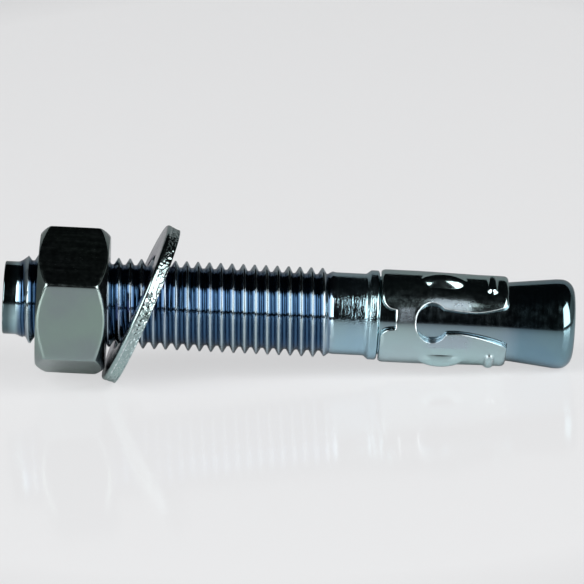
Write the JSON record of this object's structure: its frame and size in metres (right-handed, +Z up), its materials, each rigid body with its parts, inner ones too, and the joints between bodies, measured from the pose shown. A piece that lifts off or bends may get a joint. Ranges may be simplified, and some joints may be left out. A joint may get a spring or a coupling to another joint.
{
  "type": "wedge anchor",
  "caption": "Threaded bolt with an expansion cone, a slotted spring clip round its neck, a loose washer and a hexagon nut.",
  "frame": {"origin": "middle of the bounding box's base, on the floor that the anchor lies on", "axes": "+X along the bolt from its hammered end to its expansion cone, with the cone 4.64 degrees down as it rests on the washer's rim and the cone; +Z up"},
  "size_m": [0.127, 0.037, 0.0361],
  "materials": {
    "stud_steel": "bright blue-passivated zinc plate",
    "clip_steel": "bright blue-passivated zinc plate",
    "washer_steel": "bright blue-passivated zinc plate on a punched blank",
    "nut_steel": "bright blue-passivated zinc plate"
  },
  "bodies": {
    "stud": {"anchor_stud": "stud_steel"},
    "clip": {"expansion_clip": "clip_steel"},
    "washer": {"washer": "washer_steel"},
    "nut": {"hex_nut": "nut_steel"}
  },
  "joints": [
    {"name": "clip_turn", "type": "hinge", "parent": "stud", "child": "clip", "pos_m": [0.03402, 0, 0.01191], "axis": [0.9967, 0, -0.0808], "continuous": true},
    {"name": "washer_slide", "type": "slide", "parent": "stud", "child": "washer", "axis": [0.9967, 0, -0.0808], "range_m": [-0.0069, 0.0451]},
    {"name": "nut_turn", "type": "hinge", "parent": "washer", "child": "nut", "pos_m": [-0.04771, 0, 0.01854], "axis": [0.9967, 0, -0.0808], "range_deg": [-990, 6480]}
  ],
  "couplings": [
    {"joint": "washer_slide", "follows": "nut_turn", "m_per_rad": 0.00039789}
  ]
}
